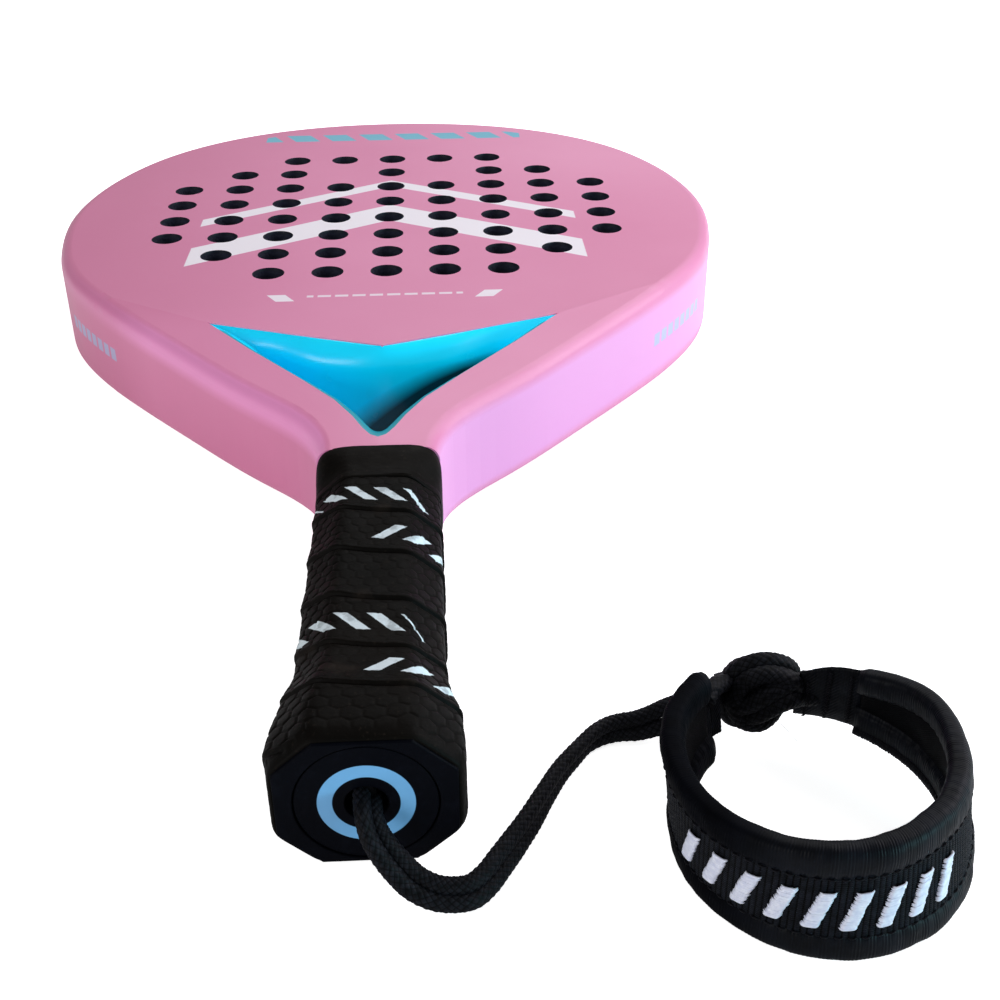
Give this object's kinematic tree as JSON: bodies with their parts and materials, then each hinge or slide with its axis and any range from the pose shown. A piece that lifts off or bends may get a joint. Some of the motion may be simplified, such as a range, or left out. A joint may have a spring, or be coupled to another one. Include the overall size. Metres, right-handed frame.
{
  "type": "padel racket",
  "caption": "Teardrop padel racket with drilled face, open throat, wrapped octagonal handle and a padded wristband on a doubled cord from the butt.",
  "frame": {"origin": "centre of the butt's end face, on the handle's axis", "axes": "+X to the right seen from the butt with the front face up; +Y along the racket from butt to tip; +Z out of the front face. The racket lies on its back face, so the table is at z = -0.01846."},
  "size_m": [0.257, 0.4848, 0.037],
  "materials": {
    "pink_lacquer": "satin pink lacquer over a carbon and glass fibre shell, with white and pale blue print",
    "cyan_gloss": "glossy cyan paint",
    "core_foam": "dark navy EVA foam with a fine cell texture",
    "handle_foam": "rigid polyurethane foam",
    "cap_plastic": "moulded blue-black plastic, faintly grained",
    "steel_pin": "plain drawn steel",
    "cushion_grip": "perforated cushion grip, hidden under the wrap",
    "black_grip": "tacky black polyurethane wrap with an embossed hexagonal texture",
    "braided_cord": "black braided cord with a slight sheen",
    "band_pad": "black foam pad in knitted cover",
    "band_lining": "smooth black lining",
    "ribbed_webbing": "black webbing with upright ribs",
    "satin_binding": "black satin binding with fine cross ribs",
    "white_thread": "white satin-stitch thread",
    "black_thread": "black bar-tack thread"
  },
  "bodies": {
    "racket": {"frame_tube": "pink_lacquer", "front_face_sheet": "pink_lacquer", "back_face_sheet": "pink_lacquer", "foam_core": "core_foam", "throat_bridge": "pink_lacquer", "throat_liner": "cyan_gloss", "pallet_front": "handle_foam", "pallet_back": "handle_foam", "butt_cap": "cap_plastic", "cap_disc": "cap_plastic", "cord_crossbar": "steel_pin", "base_grip": "cushion_grip", "overgrip": "black_grip", "grip_collar": "black_grip", "cord_bight": "braided_cord"},
    "cord_neck": {"cord_neck": "braided_cord"},
    "cord_run_1": {"cord_run_1": "braided_cord"},
    "cord_run_2": {"cord_run_2": "braided_cord"},
    "cord_run_3": {"cord_run_3": "braided_cord"},
    "knot": {"cord_knot": "braided_cord"},
    "wristband": {"band_foam": "band_pad", "band_lining": "band_lining", "band_webbing": "ribbed_webbing", "band_bottom_binding": "satin_binding", "band_top_binding": "satin_binding", "band_embroidery": "white_thread", "band_tab_right": "satin_binding", "band_tab_left": "satin_binding", "tab_stitching": "black_thread"}
  },
  "joints": [
    {"name": "cord_swing", "type": "hinge", "parent": "racket", "child": "cord_neck", "pos_m": [0.0006, -0.0034, 0], "axis": [0, 0, 1], "range_deg": [-70, 5]},
    {"name": "cord_lift", "type": "hinge", "parent": "cord_neck", "child": "cord_run_1", "pos_m": [0.01, -0.0132, -0.0153], "axis": [0, -1, 0], "range_deg": [0, 35]},
    {"name": "cord_bend_1", "type": "hinge", "parent": "cord_run_1", "child": "cord_run_2", "pos_m": [0.0276, -0.0054, -0.0153], "axis": [0, 0, -1], "range_deg": [-20, 30]},
    {"name": "cord_bend_2", "type": "hinge", "parent": "cord_run_2", "child": "cord_run_3", "pos_m": [0.0486, 0.0344, -0.0153], "axis": [0, 0, 1], "range_deg": [-30, 30]},
    {"name": "knot_swivel", "type": "hinge", "parent": "cord_run_3", "child": "knot", "pos_m": [0.077, 0.0405, -0.01], "axis": [0, 0, -1], "range_deg": [-25, 20]},
    {"name": "band_lift", "type": "hinge", "parent": "knot", "child": "wristband", "pos_m": [0.09, 0.037, -0.006], "axis": [-1, 0, 0], "range_deg": [-15, 70]}
  ]
}
